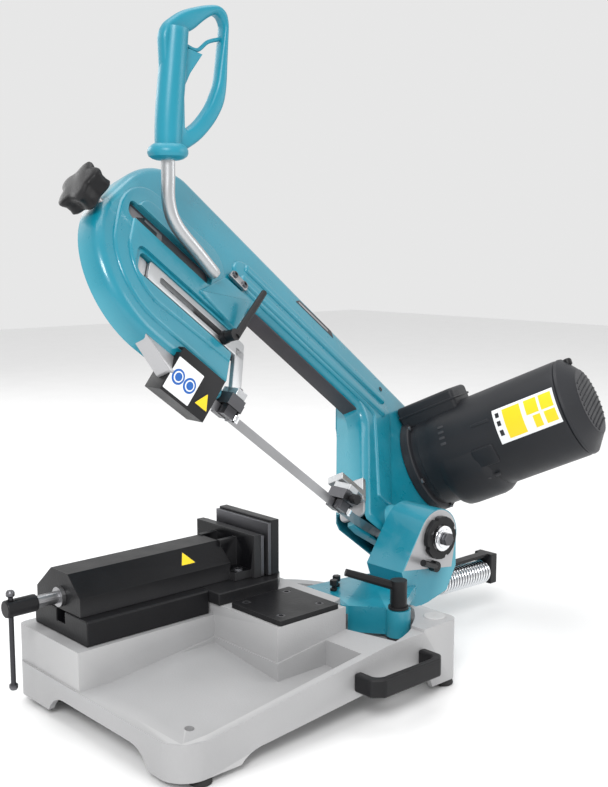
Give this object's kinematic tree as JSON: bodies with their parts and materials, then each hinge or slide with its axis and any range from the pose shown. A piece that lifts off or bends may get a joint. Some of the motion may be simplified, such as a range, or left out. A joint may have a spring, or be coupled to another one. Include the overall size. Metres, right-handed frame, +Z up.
{
  "type": "band saw",
  "caption": "Pull-down metal band saw on a cast base, with a tilting saw bow, a mitre swivel, a screw vice and a motor at the pivot end.",
  "frame": {"origin": "middle of the footprint of the whole saw, on the floor under the feet", "axes": "+X along the vice screw towards the pivot end, +Y to the back, +Z up"},
  "size_m": [0.938, 0.4248, 0.905],
  "materials": {
    "teal_paint": "gloss",
    "teal_plastic": "satin",
    "grey_paint": "satin, slightly textured",
    "black_paint": "gloss",
    "dark_steel": "satin",
    "black_plastic": "satin",
    "motor_plastic": "satin",
    "cover_paint": "satin",
    "foot_rubber": "matt",
    "steel": "satin",
    "chrome": "bright",
    "bright_aluminium": "satin",
    "wheel_iron": "machined"
  },
  "bodies": {
    "base": {"base_casting": "grey_paint", "foot_front_left": "foot_rubber", "foot_front_right": "foot_rubber", "foot_rear_left": "foot_rubber", "foot_rear_right": "foot_rubber", "carry_handle": "black_plastic", "table_plate": "black_paint", "vice_bed": "black_paint", "vice_slideway": "black_paint", "fixed_jaw": "black_paint", "fixed_jaw_face": "dark_steel", "swivel_pin": "steel"},
    "moving_jaw": {"moving_jaw": "black_paint", "moving_jaw_face": "dark_steel"},
    "vice_screw": {"vice_screw": "steel", "screw_hub": "black_paint"},
    "tommy_bar": {"tommy_bar": "dark_steel"},
    "swivel": {"swivel_bracket": "teal_paint", "stop_screw_front": "black_paint", "stop_screw_rear": "black_paint", "ring_nut": "black_paint", "spring_bracket": "black_paint", "balance_spring": "chrome", "clamp_stud": "dark_steel"},
    "mitre_clamp_lever": {"mitre_clamp_lever": "black_plastic"},
    "latch_lever": {"latch_lever": "black_plastic"},
    "bow": {"bow_casting": "teal_paint", "bow_rear_cover": "cover_paint", "drive_rear_cover": "cover_paint", "blade": "steel", "handle_tube": "bright_aluminium", "handle_grip": "teal_plastic", "blade_guard": "black_plastic", "drive_guide_bracket": "bright_aluminium", "drive_guide_knob": "black_plastic", "drive_guide_block": "dark_steel", "pivot_shaft": "steel", "pivot_washer": "chrome", "pivot_bolt": "dark_steel", "motor_flange": "motor_plastic", "motor_shell": "motor_plastic", "motor_end_cap": "motor_plastic", "terminal_box": "motor_plastic"},
    "tension_knob": {"tension_knob": "black_plastic"},
    "tension_slide": {"tension_slide": "bright_aluminium", "idler_axle": "steel"},
    "idler_wheel": {"idler_wheel": "wheel_iron"},
    "drive_wheel": {"drive_wheel": "wheel_iron", "drive_shaft": "steel", "final_gear": "steel"},
    "reduction_gear": {"reduction_gear": "steel"},
    "motor_rotor": {"motor_rotor": "steel"},
    "guide_arm": {"guide_arm": "bright_aluminium", "idle_guide_block": "dark_steel"},
    "idle_roller_front": {"idle_roller_front": "chrome"},
    "idle_roller_back": {"idle_roller_back": "chrome"},
    "drive_roller_front": {"drive_roller_front": "chrome"},
    "drive_roller_back": {"drive_roller_back": "chrome"},
    "guide_clamp_lever": {"guide_clamp_lever": "black_plastic"},
    "trigger": {"trigger": "teal_plastic"}
  },
  "joints": [
    {"name": "vice_screw_turn", "type": "hinge", "parent": "moving_jaw", "child": "vice_screw", "pos_m": [-0.42695, 0.10993, 0.156], "axis": [1, 0, 0], "range_deg": [-8400, 0]},
    {"name": "moving_jaw_slide", "type": "slide", "parent": "base", "child": "moving_jaw", "axis": [1, 0, 0], "range_m": [-0.14, 0]},
    {"name": "tommy_bar_slide", "type": "slide", "parent": "vice_screw", "child": "tommy_bar", "axis": [0, 0, 1], "range_m": [0, 0.083]},
    {"name": "mitre_swivel", "type": "hinge", "parent": "base", "child": "swivel", "pos_m": [-0.10295, 0.01593, 0.11], "axis": [0, 0, 1], "range_deg": [0, 45]},
    {"name": "mitre_clamp_turn", "type": "hinge", "parent": "swivel", "child": "mitre_clamp_lever", "pos_m": [-0.00995, -0.12007, 0.13], "axis": [0, 0, 1], "range_deg": [-25, 60]},
    {"name": "latch_turn", "type": "hinge", "parent": "swivel", "child": "latch_lever", "pos_m": [0.11955, -0.07007, 0.1317], "axis": [0, 1, 0], "range_deg": [-35, 30]},
    {"name": "bow_tilt", "type": "hinge", "parent": "swivel", "child": "bow", "pos_m": [0.13155, -0.00007, 0.1727], "axis": [0, 1, 0], "range_deg": [-37.5, 8]},
    {"name": "tension_knob_turn", "type": "hinge", "parent": "bow", "child": "tension_knob", "pos_m": [-0.35214, 0.09173, 0.66595], "axis": [0.7934, 0, -0.6088], "range_deg": [-1200, 0]},
    {"name": "tension_slide_move", "type": "slide", "parent": "bow", "child": "tension_slide", "axis": [0.7934, 0, -0.6088], "range_m": [0, 0.005]},
    {"name": "drive_wheel_spin", "type": "hinge", "parent": "bow", "child": "drive_wheel", "pos_m": [0.195, 0.07687, 0.20282], "axis": [-0.3226, 0.848, -0.4204], "continuous": true},
    {"name": "idler_wheel_spin", "type": "hinge", "parent": "tension_slide", "child": "idler_wheel", "pos_m": [-0.24333, 0.07687, 0.53917], "axis": [-0.3226, 0.848, -0.4204], "continuous": true},
    {"name": "reduction_spin", "type": "hinge", "parent": "bow", "child": "reduction_gear", "pos_m": [0.23886, 0.12177, 0.20265], "axis": [-0.3226, 0.848, -0.4204], "continuous": true},
    {"name": "rotor_spin", "type": "hinge", "parent": "bow", "child": "motor_rotor", "pos_m": [0.33225, 0.04201, 0.26504], "axis": [-0.3226, 0.848, -0.4204], "continuous": true},
    {"name": "guide_arm_slide", "type": "slide", "parent": "bow", "child": "guide_arm", "axis": [0.7934, 0, -0.6088], "range_m": [0, 0.115]},
    {"name": "guide_clamp_turn", "type": "hinge", "parent": "bow", "child": "guide_clamp_lever", "pos_m": [-0.17408, 0.04433, 0.47747], "axis": [-0.3226, 0.848, -0.4204], "range_deg": [-45, 20]},
    {"name": "idle_roller_front_spin", "type": "hinge", "parent": "guide_arm", "child": "idle_roller_front", "pos_m": [-0.18838, 0.00853, 0.37407], "axis": [0.6088, 0, 0.7934], "continuous": true},
    {"name": "idle_roller_back_spin", "type": "hinge", "parent": "guide_arm", "child": "idle_roller_back", "pos_m": [-0.18838, 0.02333, 0.37407], "axis": [0.6088, 0, 0.7934], "continuous": true},
    {"name": "drive_roller_front_spin", "type": "hinge", "parent": "bow", "child": "drive_roller_front", "pos_m": [0.01789, 0.00853, 0.21579], "axis": [0.6088, 0, 0.7934], "continuous": true},
    {"name": "drive_roller_back_spin", "type": "hinge", "parent": "bow", "child": "drive_roller_back", "pos_m": [0.01789, 0.02333, 0.21579], "axis": [0.6088, 0, 0.7934], "continuous": true},
    {"name": "trigger_press", "type": "hinge", "parent": "bow", "child": "trigger", "pos_m": [-0.22695, 0.07293, 0.845], "axis": [0, 1, 0], "range_deg": [0, 6], "stiffness_Nm_per_rad": 0.2, "springref_deg": -11.46}
  ],
  "couplings": [
    {"joint": "moving_jaw_slide", "follows": "vice_screw_turn", "m_per_rad": 0.00095493},
    {"joint": "tension_slide_move", "follows": "tension_knob_turn", "m_per_rad": -0.00023873},
    {"joint": "idler_wheel_spin", "follows": "drive_wheel_spin", "ratio": 1},
    {"joint": "reduction_spin", "follows": "drive_wheel_spin", "ratio": -2.625},
    {"joint": "rotor_spin", "follows": "drive_wheel_spin", "ratio": 7.2188}
  ]
}
